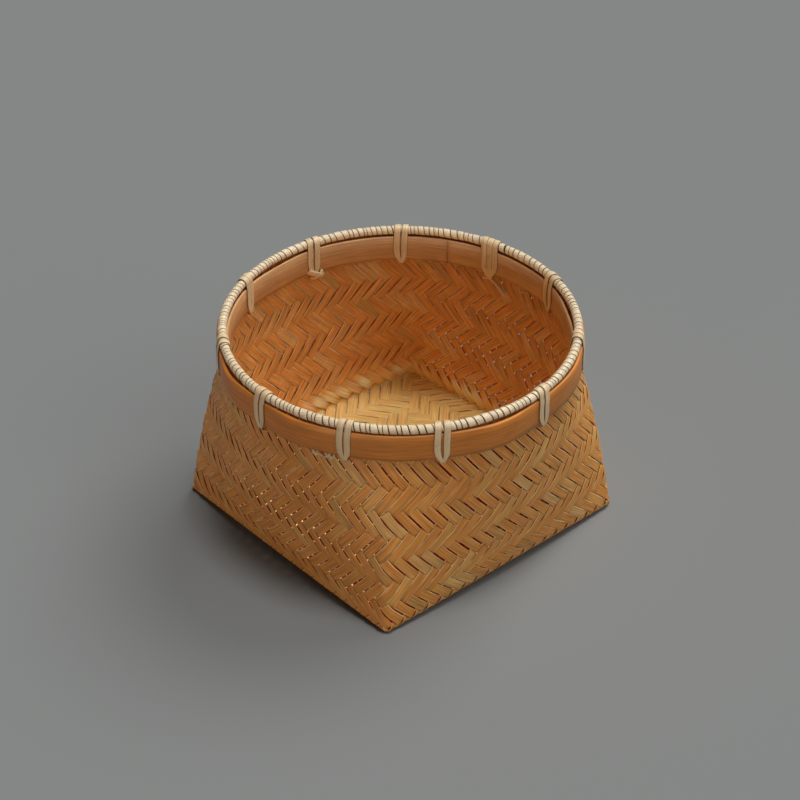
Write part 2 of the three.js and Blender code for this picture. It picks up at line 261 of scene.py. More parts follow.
class PlaitShape:
    """The middle surface of the plait, over which all splints run.

    A place on it is a number of splint pitches along one splint from the floor's middle, and the
    splint's own distance from the middle, across. Rows count up the wall from the fold.
    """

    # The height of the floor's middle surface, and how far under the hoops' top the splints end
    FLOOR, TRIM = 1.05 * MM, 2.5 * MM
    # Steps round the girth and up the wall, and the wall's length over its height
    GIRTH_STEPS, WALL_STEPS, SLANT = 720, 200, 1.01
    # Rows over which the foot's edges come down again
    RISE_ROWS = 3
    # The share of the lift that is left under a load and in the hoops' grip
    PRESSED = 0.55
    # Shares of the width of splints that lean left and right on the walls, and of those on the floor
    LEFT_BREADTH, RIGHT_BREADTH, FLOOR_BREADTH = 0.95, 1.06, 1.05
    # What splints lack of it on the two looser walls, by their lean, their row and their way from the ridge
    LEFT_LOSS, RIGHT_LOSS = 0.04, 0.052
    LOOSE_ROWS, LOOSE_SHARES, LOOSE_RUN = (-1, 1, 8, 17), (0.3, 1.2, 0.9, 0), 9 * MM
    # How much further in a splint stands where it bridges the fold, at which row and over how many
    BRIDGE_LIFT, BRIDGE_ROW, BRIDGE_ROWS = 2.2, 1.8, 1.2

    def __init__(self, settings):
        self.given = settings
        self.reach = settings.splints / 2
        self.half = settings.foot_side / 2
        self.fold = settings.fold
        self.fold_rows = math.pi * self.fold / 4 / self.row_height(self.FLOOR + self.fold)
        self.climb()

    def climb(self):
        """Works out how high each row of crossings lies on the wall."""
        heights = np.linspace(self.FLOOR + self.fold, HOOP_HIGH.z, self.WALL_STEPS)
        rows = [self.fold_rows]
        for low, high in zip(heights[:-1], heights[1:]):
            rows.append(rows[-1] + self.SLANT * (high - low) / self.row_height((low + high) / 2))
        self.wall_rows = np.array(rows)
        self.wall_heights = heights
        self.top_row = float(np.interp(HOOP_HIGH.z - self.TRIM, heights, rows))
        self.grip_row = float(np.interp(HOOP_LOW.z, heights, rows))

    def row_height(self, height):
        """The distance between two rows of crossings at one height, from the girth there."""
        places = np.linspace(0, 4 * self.reach, self.GIRTH_STEPS, endpoint=False)
        ring = self.section(places, np.full_like(places, height), 0)
        girth = np.linalg.norm(np.roll(ring, -1, 0) - ring, axis=1).sum()
        unit = girth / (4 * self.reach)
        pitch = self.given.pitch
        return unit / 2 * pitch / math.sqrt(unit**2 - pitch**2)

    def section(self, places, heights, inset):
        """Points of the level outlines: a rounded square at the foot and a circle at the mouth."""
        quarter = self.reach
        side = np.round(places / quarter)
        share = (places - quarter * side) / (quarter / 2)
        half = self.half - inset
        corner = np.maximum(self.given.corner - inset, 0.01 * MM)
        run = half - corner
        along = share * half
        bend = np.clip((np.abs(along) - run) / corner, 0, 1) * math.pi / 4
        straight = np.abs(along) <= run
        out = np.where(straight, half, run + corner * np.cos(bend))
        beside = np.where(straight, along, np.sign(along) * (run + corner * np.sin(bend)))
        cos, sin = np.cos(side * math.pi / 2), np.sin(side * math.pi / 2)
        square = np.stack([cos * out - sin * beside, sin * out + cos * beside])
        azimuth = places / quarter * math.pi / 2
        circle = (MOUTH_RADIUS - inset) * np.stack([np.cos(azimuth), np.sin(azimuth)])
        level = np.clip((heights - self.FLOOR) / (HOOP_LOW.z - self.FLOOR), 0, 1)
        roundness = level**self.given.rounding
        bowed = self.given.bow / self.half * (1 - share**2) * (1 - level) ** 2
        swell = 1 + self.given.swell * np.sin(math.pi * level) + bowed
        return (((1 - roundness) * square + roundness * circle) * swell).T

    def rows(self, along, across):
        """The row that each place lies in, counted up the wall from the fold and below 0 on the floor."""
        return np.abs(along) + np.abs(across) - self.reach

    def points(self, along, across):
        """Points of the surface, for one splint of the first way."""
        rows = self.rows(along, across)
        spread = np.maximum(np.abs(along) + np.abs(across), 1e-9)
        quarter = self.reach
        left = leans_left(along, across)
        side = np.where(along > 0, np.where(across > 0, 1, 0), np.where(across > 0, 2, 3))
        forward = np.where(along > 0, 1, -1)
        share = forward * np.where(left, across - along, across + along) / spread
        floor_place = quarter * side + quarter / 2 * share
        start = np.where(along > 0, quarter / 2 + across, 5 * quarter / 2 - across)
        wall_place = start + np.where(left, -1, 1) * rows / 2
        places = np.where(rows <= 0, floor_place, wall_place)
        bend = np.clip(math.pi / 4 * (1 + rows / self.fold_rows), 0, math.pi / 2)
        flat_rows = self.reach - self.fold_rows
        flat = np.maximum(-rows - self.fold_rows, 0) / flat_rows * (self.half - self.fold)
        inset = self.fold * (1 - np.sin(bend)) + flat
        folded = self.FLOOR + self.fold * (1 - np.cos(bend))
        heights = np.where(rows > self.fold_rows, np.interp(rows, self.wall_rows, self.wall_heights), folded)
        level = self.section(places, heights, inset)
        along_side = (places / quarter - np.round(places / quarter)) * 2
        raised = self.given.rise * (1 - along_side**2) * np.exp(-((rows / self.RISE_ROWS) ** 2))
        return np.column_stack([level, heights + raised])

    def slack(self, along, across):
        """The share of its full lift that a splint has: less under a load and in the hoops' grip."""
        marks = (-2, 1, self.grip_row - 1.5, self.grip_row)
        return np.interp(self.rows(along, across), marks, (self.PRESSED, 1, 1, self.PRESSED))

    def breadth(self, along, across, placed):
        """The share of its full width that a splint has: packed tight one way, loose low on two walls."""
        rows = self.rows(along, across)
        left = leans_left(along, across)
        packed = np.where(left, self.LEFT_BREADTH, self.RIGHT_BREADTH)
        packed = np.where(rows > 0, packed, self.FLOOR_BREADTH)
        facing = np.abs(placed[:, 1]) - np.abs(placed[:, 0])
        loose = np.clip(facing / self.LOOSE_RUN, 0, 1) * np.interp(rows, self.LOOSE_ROWS, self.LOOSE_SHARES)
        return packed - np.where(left, self.LEFT_LOSS, self.RIGHT_LOSS) * loose

    def bridge(self, along, across):
        """How much further inwards a splint on the inside stands where it bridges the fold."""
        offset = (self.rows(along, across) - self.BRIDGE_ROW) / self.BRIDGE_ROWS
        return self.BRIDGE_LIFT * np.exp(-(offset**2))

    def course(self, along, across):
        """Points of one splint's course with the outward direction of the surface at each."""
        step = 0.05
        points = self.points(along, across)
        ahead = self.points(along + step, across) - self.points(along - step, across)
        beside = self.points(along, across + step) - self.points(along, across - step)
        outward = np.cross(ahead, beside)
        middle = np.array([0, 0, HOOP_LOW.z / 2])
        outward *= np.sign(((points - middle) * outward).sum(1))[:, None]
        return points, outward / np.linalg.norm(outward, axis=1)[:, None]


def is_outside(along, across, reach, float_rows):
    """Whether a splint of the first way lies outside the one that it crosses there."""
    row = round(abs(along) + abs(across) - reach)
    return ((row - 1) % (2 * float_rows) < float_rows) == leans_left(along, across)


def splint_lift(along, across, reach, float_rows):
    """How far a splint stands out of the middle surface: 1 outside the others and -1 inside them."""
    bow = 1.0
    dive = 0.55
    before = math.floor(along - 0.5) + 0.5

    def held(crossing):
        """The lift at a crossing, a little more in the middle of a float."""
        sides = [is_outside(crossing + step, across, reach, float_rows) for step in (-1, 0, 1)]
        bowed = 1 + bow * (sides[0] == sides[1] == sides[2])
        return bowed if sides[1] else -bowed

    ease = eased(min(max((along - before - 0.5) / dive + 0.5, 0), 1))
    return held(before) * (1 - ease) + held(before + 1) * ease


def splint_stations(across, shape, float_rows):
    """Where along a splint its course needs a point: crossings, dives, the folds and the ridges."""
    dive_steps = (-0.36, -0.22, -0.08, 0.08, 0.22, 0.36)
    fold_steps = (-1, -0.7, -0.35, 0, 0.35, 0.7, 1)
    ridge_steps = (-0.9, -0.6, -0.3, 0, 0.3, 0.6, 0.9)
    closest = 0.04
    end = shape.reach - abs(across) + shape.top_row
    marks = {0.0, end, *dive_steps[3:5]}
    marks.update(np.arange(0.5, end).tolist())
    for middle in range(1, int(end + 0.5)):
        sides = [is_outside(middle + step, across, shape.reach, float_rows) for step in (-0.5, 0.5)]
        if sides[0] != sides[1]:
            marks.update(middle + step for step in dive_steps)
    fold = shape.reach - abs(across)
    ridge = fold + 2 * abs(across)
    marks.update(fold + shape.fold_rows * step for step in fold_steps)
    marks.update(ridge + step for step in ridge_steps)
    kept = sorted(mark for mark in marks if 0 <= mark <= end)
    spaced = [kept[0]]
    for mark in kept[1:]:
        if mark - spaced[-1] > closest:
            spaced.append(mark)
    return np.array([-mark for mark in reversed(spaced[1:])] + spaced)


def guide_mesh(name, lines):
    """A mesh of open lines whose points carry what the strip tree reads."""
    points = np.concatenate([line["points"] for line in lines])
    starts = set(np.cumsum([len(line["points"]) for line in lines]).tolist())
    edges = [(i - 1, i) for i in range(1, len(points)) if i not in starts]
    mesh = bpy.data.meshes.new(name)
    mesh.from_pydata(points.tolist(), edges, [])
    outward = mesh.attributes.new("outward", "FLOAT_VECTOR", "POINT")
    outward.data.foreach_set("vector", np.concatenate([line["outward"] for line in lines]).ravel())
    for key in ("lift", "breadth", "strip"):
        values = [np.broadcast_to(line.get(key, 0.0), len(line["points"])) for line in lines]
        mesh.attributes.new(key, "FLOAT", "POINT").data.foreach_set("value", np.concatenate(values))
    return mesh


def strip_tree():
    """The tree that sweeps a flat, eased section along guide lines, with the unevenness of hand work."""
    name = "Strips along lines"
    if name in bpy.data.node_groups:
        return bpy.data.node_groups[name]
    tree = bpy.data.node_groups.new(name, "GeometryNodeTree")
    tree.interface.new_socket("Lines", in_out="INPUT", socket_type="NodeSocketGeometry")
    for entry in ("Width", "Thickness", *STRIP_SIZES):
        kind = "NodeSocketInt" if entry in ("Corners", "Seed") else "NodeSocketFloat"
        tree.interface.new_socket(entry, in_out="INPUT", socket_type=kind)
    tree.interface.new_socket("Material", in_out="INPUT", socket_type="NodeSocketMaterial")
    tree.interface.new_socket("Strips", in_out="OUTPUT", socket_type="NodeSocketGeometry")
    given = add(tree, "NodeGroupInput").outputs
    out, math_of, vector_of = makers(tree)

    # Lengths over which a strip strays, tilts and changes its breadth, each with its layer of the noise
    stray, lean, narrowing = (40 * MM, 0.3), (25 * MM, 5.3), (15 * MM, 9.1)
    # Steps between neighbouring strips in the noise and in the fibres
    noise_step, fibre_step = 3.7, 0.37
    # What takes the section's outermost corner to 1, and the bend in degrees at which edges turn sharp
    corner_scale, sharp_bend = 1.08, 18

    def read(attribute, kind="FLOAT"):
        """An attribute of the guide lines."""
        return out("GeometryNodeInputNamedAttribute", {"Name": attribute}, data_type=kind)

    def store(geometry, attribute, value, kind="FLOAT"):
        """The geometry with a value stored on its points."""
        inputs = {"Geometry": geometry, "Name": attribute, "Value": value}
        return out("GeometryNodeStoreNamedAttribute", inputs, domain="POINT", data_type=kind)

    def position():
        """The three parts of a point's position."""
        return add(tree, "ShaderNodeSeparateXYZ", {0: out("GeometryNodeInputPosition")}).outputs

    outward = read("outward", "FLOAT_VECTOR")
    strip = read("strip")
    along = add(tree, "GeometryNodeSplineParameter").outputs["Length"]
    tangent = out("GeometryNodeInputTangent")
    side = vector_of("NORMALIZE", vector_of("CROSS_PRODUCT", outward, tangent))

    def drift(reach, layer):
        """Noise from -1 to 1 that changes slowly along each strip."""
        inputs = {
            0: math_of("DIVIDE", along, reach),
            1: math_of("MULTIPLY", strip, noise_step),
            2: math_of("ADD", given["Seed"], layer),
        }
        place = out("ShaderNodeCombineXYZ", inputs)
        noise = add(tree, "ShaderNodeTexNoise", {"Vector": place, "Scale": 1.0, "Detail": 1.0})
        return math_of("MULTIPLY_ADD", noise.outputs[0], 4.0, -2.0)

    lifted = vector_of("SCALE", outward, Scale=math_of("MULTIPLY", read("lift"), given["Lift"]))
    strayed = math_of("MULTIPLY", drift(*stray), given["Wander"])
    curve = out("GeometryNodeMeshToCurve", {"Mesh": given["Lines"]})
    offset = vector_of("ADD", lifted, vector_of("SCALE", side, Scale=strayed))
    curve = out("GeometryNodeSetPosition", {"Geometry": curve, "Offset": offset})
    upright = vector_of("CROSS_PRODUCT", tangent, vector_of("CROSS_PRODUCT", outward, tangent))
    tilt = math_of("MULTIPLY", drift(*lean), given["Tilt"])
    normal = vector_of("NORMALIZE", vector_of("ADD", upright, vector_of("SCALE", side, Scale=tilt)))
    curve = out("GeometryNodeSetCurveNormal", {"Curve": curve, "Normal": normal}, mode="FREE")
    chance = {"ID": strip, "Seed": given["Seed"]}
    tint = add(tree, "FunctionNodeRandomValue", chance, data_type="FLOAT").outputs[1]
    curve = store(curve, "along", math_of("MULTIPLY_ADD", strip, fibre_step, along))
    curve = store(curve, "tint", tint)

    ring = out("GeometryNodeCurvePrimitiveCircle", {"Resolution": given["Corners"], "Radius": 1.0})
    turn = out("ShaderNodeCombineXYZ", {2: math_of("DIVIDE", math.pi, given["Corners"])})
    ring = out("GeometryNodeTransform", {"Geometry": ring, "Rotation": turn})
    corner = position()
    on_face = math_of("GREATER_THAN", corner[0], 0.0)
    ring = store(ring, "face", math_of("MULTIPLY", corner[0], corner_scale))
    spare = math_of("SUBTRACT", given["Face Edge"], given["Back Edge"])
    power = math_of("MULTIPLY_ADD", on_face, spare, given["Back Edge"])
    parts = {}
    for axis, size, bend in ((0, given["Thickness"], given["Crown"]), (1, given["Width"], power)):
        size_here = math_of("MULTIPLY", math_of("POWER", math_of("ABSOLUTE", corner[axis]), bend), size)
        parts[axis] = math_of("MULTIPLY", math_of("SIGN", corner[axis]), math_of("DIVIDE", size_here, 2.0))
    place = out("ShaderNodeCombineXYZ", parts)
    ring = out("GeometryNodeSetPosition", {"Geometry": ring, "Position": place})
    ring = store(ring, "across", position()[1])

    uneven = math_of("MULTIPLY_ADD", drift(*narrowing), given["Unevenness"], 1.0)
    scale = math_of("MULTIPLY", uneven, read("breadth"))
    inputs = {"Curve": curve, "Profile Curve": ring, "Scale": scale, "Fill Caps": True}
    mesh = out("GeometryNodeCurveToMesh", inputs)
    mesh = out("GeometryNodeSetShadeSmooth", {"Geometry": mesh, "Shade Smooth": True})
    bent = add(tree, "GeometryNodeInputMeshEdgeAngle").outputs["Unsigned Angle"]
    inputs = {"Geometry": mesh, "Shade Smooth": math_of("LESS_THAN", bent, math.radians(sharp_bend))}
    mesh = out("GeometryNodeSetShadeSmooth", inputs, domain="EDGE")
    grain = out("ShaderNodeCombineXYZ", {0: read("along"), 1: read("across"), 2: read("tint")})
    mesh = store(mesh, "grain", grain, "FLOAT_VECTOR")
    mesh = store(mesh, "bared", math_of("MULTIPLY", read("lift"), read("face")))
    mesh = out("GeometryNodeRealizeInstances", {"Geometry": mesh})
    mesh = out("GeometryNodeSetMaterial", {"Geometry": mesh, "Material": given["Material"]})
    add(tree, "NodeGroupOutput", {"Strips": mesh})
    return tree


def place_piece(name, data):
    """An object of a mesh, lamp or camera, at the origin, in the place of any older one of that name."""
    old = bpy.data.objects.get(name)
    if old:
        bpy.data.objects.remove(old)
    piece = bpy.data.objects.new(name, data)
    bpy.context.scene.collection.objects.link(piece)
    return piece


def swept(name, lines, kind, width, thickness, material):
    """Strips of one kind along guide lines, made by the strip tree and turned into one plain mesh."""
    piece = place_piece(name, guide_mesh(name + "_lines", lines))
    modifier = piece.modifiers.new("Strips", "NODES")
    modifier.node_group = strip_tree()
    sockets = {s.name: s.identifier for s in modifier.node_group.interface.items_tree if s.in_out == "INPUT"}
    sizes = dict(zip(STRIP_SIZES, STRIPS[kind]))
    for entry, value in {**sizes, "Width": width, "Thickness": thickness, "Material": material}.items():
        modifier[sockets[entry]] = value
    bpy.context.view_layer.update()
    evaluated = piece.evaluated_get(bpy.context.evaluated_depsgraph_get())
    mesh = bpy.data.meshes.new_from_object(evaluated)
    piece.modifiers.remove(modifier)
    guide = piece.data
    piece.data = mesh
    bpy.data.meshes.remove(guide)
    mesh.name = name
    for attribute in ("outward", "lift", "breadth", "strip", "along", "across", "tint"):
        if attribute in mesh.attributes:
            mesh.attributes.remove(mesh.attributes[attribute])
    return piece


def blank_material(name):
    """A material of that name with an empty tree, and the tree."""
    material = bpy.data.materials.get(name) or bpy.data.materials.new(name)
    material.use_nodes = True
    material.node_tree.nodes.clear()
    return material, material.node_tree


def give_surface(tree, inputs):
    """Gives a material its surface, from the inputs of its shader."""
    shader = add(tree, "ShaderNodeBsdfPrincipled", inputs).outputs[0]
    add(tree, "ShaderNodeOutputMaterial", {"Surface": shader})


def tones(tree):
    """Two functions for a material's tree: a value taken to a new range, and the mix of two colours."""

    def between(value, low, high, start=0.3, end=0.7):
        """The value, taken from the usual range of a noise, or from another one, to a new range."""
        inputs = {"Value": value, "From Min": start, "From Max": end, "To Min": low, "To Max": high}
        return add(tree, "ShaderNodeMapRange", inputs).outputs[0]

    def mixed(share, first, second):
        inputs = {"Factor": share, "A_Color": first, "B_Color": second}
        return add(tree, "ShaderNodeMix", inputs, data_type="RGBA").outputs[2]

    return between, mixed


def rubbed(tree, tan, chance, patch, bared, faces):
    """The tan of plaited splints with painted light on the inner floor, paler fold bars (partly wear, partly
    painted highlight) and paler split bevels (partly cut fibres, partly painted highlight), and what lies
    inside and upright.

    The face attribute is 1 on a splint's outer face, -1 on its inner one and near 0 on its upright
    sides, and bared is its lift times that, so that it tells how far a face stands out of the plait.
    """
    # Heights over which the painted light on the floor inside fades out up the wall
    floor_light_heights = (3 * MM, 20 * MM)
    # How far a face stands out where it turns paler, partly worn and partly a painted highlight, and how
    # pale it turns, by the strip's random share
    worn_highlit_lifts, worn_highlit_chances, worn_highlit_shares = (1.8, 3.4), (0.2, 0.8), (0.15, 0.95)
    # The face attribute's range on the slanted bevels, and on the upright sides below them
    bevels, sides = (0.6, 0.95), (0.2, 0.5)
    # The patches where the bevels are cleanly split and take the paler cut colour, partly cut fibres and
    # partly a painted highlight, and the share of that colour elsewhere
    clean_noise, rough_share = (0.42, 0.56), 0.15
    # The tone of the inner faces, which the sun hasn't browned, over that of the outer ones
    inner_tone = (0.91, 0.97, 1.25)

    _, math_of, vector_of = makers(tree)
    between, mixed = tones(tree)
    point = add(tree, "ShaderNodeTexCoord").outputs["Object"]
    height = add(tree, "ShaderNodeSeparateXYZ", {0: point}).outputs[2]
    low = between(height, 1.0, 0.0, *floor_light_heights)
    # Mask of the fold bars, whose paler tone is partly wear and partly a painted highlight
    proud = between(bared, 0.0, between(chance, *worn_highlit_shares, *worn_highlit_chances), *worn_highlit_lifts)
    face = add(tree, "ShaderNodeAttribute", attribute_name="face").outputs["Fac"]
    inside = between(face, 1.0, 0.0, -1.0, 1.0)
    beside = math_of("ABSOLUTE", face)
    upright = between(beside, 1.0, 0.0, *sides)
    # Paler outer and inner bevels: partly the paler cut fibres, partly a painted highlight along the
    # splints' edges
    split = math_of("SUBTRACT", between(beside, 1.0, 0.0, *bevels), upright)
    split = math_of("MULTIPLY", split, between(patch, rough_share, 1.0, *clean_noise))
    tan = mixed(inside, tan, vector_of("MULTIPLY", tan, inner_tone))
    # Painted light on the floor inside, fading out up the wall
    tan = mixed(math_of("MULTIPLY", low, inside), tan, faces.painted_floor_light)
    # Paler bars where splints bridge the fold: partly wear, partly a painted highlight
    tan = mixed(math_of("MULTIPLY", proud, inside), tan, faces.worn_and_highlit)
    return mixed(split, tan, faces.cut), inside, upright


def bamboo_material(name, tints, fibre, gloss, streaks=0.2, glow=0.0, specks=None, edge_shade=None, faces=None):
    """Split bamboo or cane, dry and undyed: straight fibres, a tint of its own on each strip, a low sheen.

    The grain attribute holds a point's place along and across its strip in metres, and the strip's own
    random share, over which the tints are spread. Fibres are coarser than real ones, so that they show,
    and streaks is how far their tones differ. Thin strips let through the share glow of the light, which
    leaves them redder. Small marks have the colour specks. Strips darken to their edges, as painted shade,
    where edge_shade gives their distance from the middle. In faces, the plait's settings colour the paler
    fold bars and split bevels, partly wear and cut fibres and partly painted highlight, the painted light
    on the floor inside and the painted shade in the slits.
    """
    # Lengths of fibres, clouds and patches along the strip, and the patches' width
    fibre_run, cloud_run, patch_run, patch_width = 14 * MM, 30 * MM, 12 * MM, 9 * MM
    # Size of the specks and the noise from which one shows
    speck_run, speck_width, speck_noise = 2.5 * MM, 1.2 * MM, (0.66, 0.76)
    # Shares of the distance edge_shade between which a strip darkens with painted shade, and the tone that
    # is left
    edge_shade_shares, edge_shade_tone = (0.84, 1.0), 0.06
    # How far apart strips lie in the noise, the tones of patches, and the share of the specks' colour
    strip_step, patch_tones, speck_share = 90.0, (0.93, 1.05), 0.5
    # The relief of fibres, and how much rougher and smoother than the gloss they are
    relief, rougher, smoother = 0.06 * MM, 0.1, 0.08
    # How far a face stands out where the painted shade of the slits ends, and how far the inner faces are
    # spared from it
    slit_shade_lifts, spared = (-0.6, 0.3), 0.5
    # How deep light goes into open faces and into the painted-shade slits, where it goes deeper so that they
    # glow redder, and its reach by colour
    face_depth, slit_depth, scatter = 0.5 * MM, 3.0 * MM, (1.0, 0.36, 0.15)
    sheen = 0.5
    depth = face_depth

    material, tree = blank_material(name)
    out, math_of, vector_of = makers(tree)
    between, mixed = tones(tree)
    grain = add(tree, "ShaderNodeAttribute", attribute_name="grain").outputs["Vector"]
    place = add(tree, "ShaderNodeSeparateXYZ", {0: grain}).outputs
    own = out("ShaderNodeCombineXYZ", {2: math_of("MULTIPLY", place[2], strip_step)})

    def fibres(long, wide, detail):
        """Noise drawn out along the strip, with marks of about that length and width."""
        moved = vector_of("ADD", vector_of("MULTIPLY", grain, (1 / long, 1 / wide, 0.0)), own)
        return out("ShaderNodeTexNoise", {"Vector": moved, "Scale": 1.0, "Detail": detail})

    fine = fibres(fibre_run, fibre, 2.0)
    broad = fibres(cloud_run, 4 * fibre, 2.0)
    patch = fibres(patch_run, patch_width, 1.0)
    ramp = add(tree, "ShaderNodeValToRGB", {"Fac": place[2]})
    stops = ramp.color_ramp.elements
    while len(stops) < len(tints):
        stops.new(1.0)
    if len(stops) > len(tints):
        stops.remove(stops[-1])
    for stop, (position, value) in zip(stops, tints):
        stop.position = position
        stop.color = value
    tan = ramp.outputs[0]
    if faces:
        bared = add(tree, "ShaderNodeAttribute", attribute_name="bared").outputs["Fac"]
        tan, inside, upright = rubbed(tree, tan, place[2], patch, bared, faces)
    streak = between(fine, 1 - streaks, 1 + streaks)
    cloud = between(broad, 1 - streaks / 2, 1 + streaks / 2)
    dim = math_of("MULTIPLY", math_of("MULTIPLY", streak, cloud), between(patch, *patch_tones))
    base = vector_of("SCALE", tan, Scale=dim)
    if specks:
        marked = between(fibres(speck_run, speck_width, 1.0), 0.0, speck_share, *speck_noise)
        base = mixed(marked, base, specks)
    # Painted shade towards the strips' edges
    if edge_shade:
        marks = [share * edge_shade for share in edge_shade_shares]
        edge = between(math_of("ABSOLUTE", place[1]), 1.0, edge_shade_tone, *marks)
        base = vector_of("SCALE", base, Scale=edge)
    # Painted shade in the slits: faces under other splints and upright sides take the darker, redder colour,
    # no sheen, and a deeper reach of light
    if faces:
        shown = between(bared, 0.0, 1.0, *slit_shade_lifts)
        shown = math_of("MULTIPLY_ADD", inside, spared, shown, use_clamp=True)
        shown = math_of("SUBTRACT", shown, upright, use_clamp=True)
        base = mixed(shown, faces.slit_shade, base)
        depth = between(shown, slit_depth, face_depth, 0.0, 1.0)
        sheen = between(shown, 0.0, sheen, 0.0, 1.0)
    bump = out("ShaderNodeBump", {"Strength": 0.4, "Distance": relief, "Height": fine})
    inputs = {
        "Base Color": base,
        "Roughness": between(fine, gloss + rougher, gloss - smoother),
        "Normal": bump,
        "IOR": 1.5,
        "Specular IOR Level": sheen,
        "Subsurface Weight": glow,
        "Subsurface Radius": scatter,
        "Subsurface Scale": depth,
    }
    give_surface(tree, inputs)
    return material


def cane_material(tan):
    """Raw round cane, peeled and dry: a dull brown with long fibres round the ring, seen only in gaps."""
    material, tree = blank_material("peeled_cane")
    out, _, vector_of = makers(tree)
    place = add(tree, "ShaderNodeTexCoord").outputs["Object"]
    fibre_width, relief = 0.8 * MM, 0.05 * MM
    fibre = out("ShaderNodeTexNoise", {"Vector": place, "Scale": 1 / fibre_width, "Detail": 2.0})
    dim = out("ShaderNodeMapRange", {"Value": fibre, "To Min": 0.7, "To Max": 1.2})
    base = vector_of("SCALE", tan[:3], Scale=dim)
    bump = out("ShaderNodeBump", {"Strength": 0.4, "Distance": relief, "Height": fibre})
    give_surface(tree, {"Base Color": base, "Roughness": 0.7, "Normal": bump})
    return material


class BASKET_OT_stage(bpy.types.Operator):
    """Places the camera, the floor, the backdrop colour and the light."""

    bl_idname = "basket.stage"
    bl_label = "Stage"

    def execute(self, context):
        settings = context.scene.basket_stage
        camera = place_piece("camera", bpy.data.cameras.new("camera"))
        camera.data.lens = settings.lens
        camera.data.clip_start = 10 * MM
        camera.location = CAMERA_PLACE
        camera.rotation_euler = (math.radians(90 - CAMERA_DIP), 0, math.radians(CAMERA_TURN))
        context.scene.camera = camera

        half = 6.0
        mesh = bpy.data.meshes.new("floor")
        corners = [(-half, -half, 0), (half, -half, 0), (half, half, 0), (-half, half, 0)]
        mesh.from_pydata(corners, [], [(0, 1, 2, 3)])
        floor = place_piece("floor", mesh)
        # Matt paper, which shows its colour as it is and no highlight
        paper, tree = blank_material("matt_paper")
        give_surface(tree, {"Base Color": settings.floor, "Roughness": 0.9, "Specular IOR Level": 0.1})
        mesh.materials.append(paper)
        floor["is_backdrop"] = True

        # Each lamp's strength, spread, azimuth and elevation in degrees, and colour
        lamps = (
            ("key_light", settings.key, 36, 93, 50, "#ffffff"),
            ("side_light", settings.side, 50, 18, 45, "#ffffff"),
            ("top_light", settings.top, 15, 35, 84, "#ffffff"),
            ("front_light", settings.front, 6, 290, 2, "#ffe2c8"),
        )
        for name, energy, spread, azimuth, elevation, tint in lamps:
            lamp = place_piece(name, bpy.data.lights.new(name, "SUN"))
            lamp.data.energy = energy
            lamp.data.color = srgb(tint)[:3]
            lamp.data.angle = math.radians(spread)
            lamp.rotation_euler = (0, math.radians(90 - elevation), math.radians(azimuth))

        world = bpy.data.worlds.new("studio")
        context.scene.world = world
        world.use_nodes = True
        tree = world.node_tree
        tree.nodes.clear()
        out, math_of, _ = makers(tree)
        fill = out("ShaderNodeBackground", {"Color": srgb("#ffffff"), "Strength": settings.fill})
        shown = out("ShaderNodeBackground", {"Color": settings.floor, "Strength": 1.0})
        path = add(tree, "ShaderNodeLightPath").outputs
        seen = path["Is Camera Ray"]
        for ray in ("Is Glossy Ray", "Is Transmission Ray"):
            seen = math_of("MAXIMUM", seen, path[ray])
        mixed = out("ShaderNodeMixShader", {0: seen, 1: fill, 2: shown})
        add(tree, "ShaderNodeOutputWorld", {"Surface": mixed})
        context.scene.view_settings.view_transform = "Standard"
        return {"FINISHED"}


class BASKET_OT_plait(bpy.types.Operator):
    """Plaits the body: splints laid both ways over the floor and up the walls, in twill."""

    bl_idname = "basket.plait"
    bl_label = "Plaited Body"

    def execute(self, context):
        settings = context.scene.basket_plait
        shape = PlaitShape(settings)
        # Splints split from the stem with a knife: most are honey, a few paler or greener
        shares = (0.0, 0.05, 0.6, 0.93, 1.0)
        colours = (settings.green, settings.honey, settings.honey, settings.straw, settings.pale)
        tints = list(zip(shares, colours))
        look = {"gloss": 0.5, "streaks": 0.3, "glow": 0.8, "faces": settings}
        material = bamboo_material("split_bamboo_splint", tints, 0.3 * MM, **look)
        for way, name in enumerate(("splints_one_way", "splints_other_way")):
            turned = np.array([[0, -1, 0], [1, 0, 0], [0, 0, 1]] if way else np.eye(3))
            lines = []
            for i in range(settings.splints):
                across = i + 0.5 - settings.splints / 2
                stations = splint_stations(across, shape, settings.float_rows)
                points, outward = shape.course(stations, np.full_like(stations, across))
                lift = [splint_lift(a, across, shape.reach, settings.float_rows) for a in stations]
                lift *= shape.slack(stations, across)
                lift -= shape.bridge(stations, across) * np.clip(-lift, 0, 1)
                placed = points @ turned.T
                line = {
                    "points": placed,
                    "outward": outward @ turned.T,
                    "lift": lift,
                    "breadth": shape.breadth(stations, across, placed),
                    "strip": float(way * settings.splints + i),
                }
                lines.append(line)
            piece = swept(name, lines, "splint", settings.width, settings.thickness, material)
            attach(piece, BODY)
            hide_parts("woven_body")
        return {"FINISHED"}


def polar(radius, azimuth, height):
    """Points from a radius, an azimuth in radians and a height."""
    return np.stack(np.broadcast_arrays(radius * np.cos(azimuth), radius * np.sin(azimuth), height), -1)


def lofted(name, sections, grain, material):
    """A closed band through rings of points, with its grain attribute, as a new piece."""
    sections = np.asarray(sections)
    count, sides = sections.shape[:2]
    faces = []
    for s in range(count - 1):
        for i in range(sides):
            j = (i + 1) % sides
            faces.append((s * sides + i, s * sides + j, (s + 1) * sides + j, (s + 1) * sides + i))
    faces.append(tuple(reversed(range(sides))))
    faces.append(tuple(range((count - 1) * sides, count * sides)))
    mesh = bpy.data.meshes.new(name)
    mesh.from_pydata(sections.reshape(-1, 3).tolist(), [], faces)
    places = mesh.attributes.new("grain", "FLOAT_VECTOR", "POINT")
    places.data.foreach_set("vector", np.asarray(grain).ravel())
    mesh.polygons.foreach_set("use_smooth", [True] * len(mesh.polygons))
    mesh.materials.append(material)
    return place_piece(name, mesh)


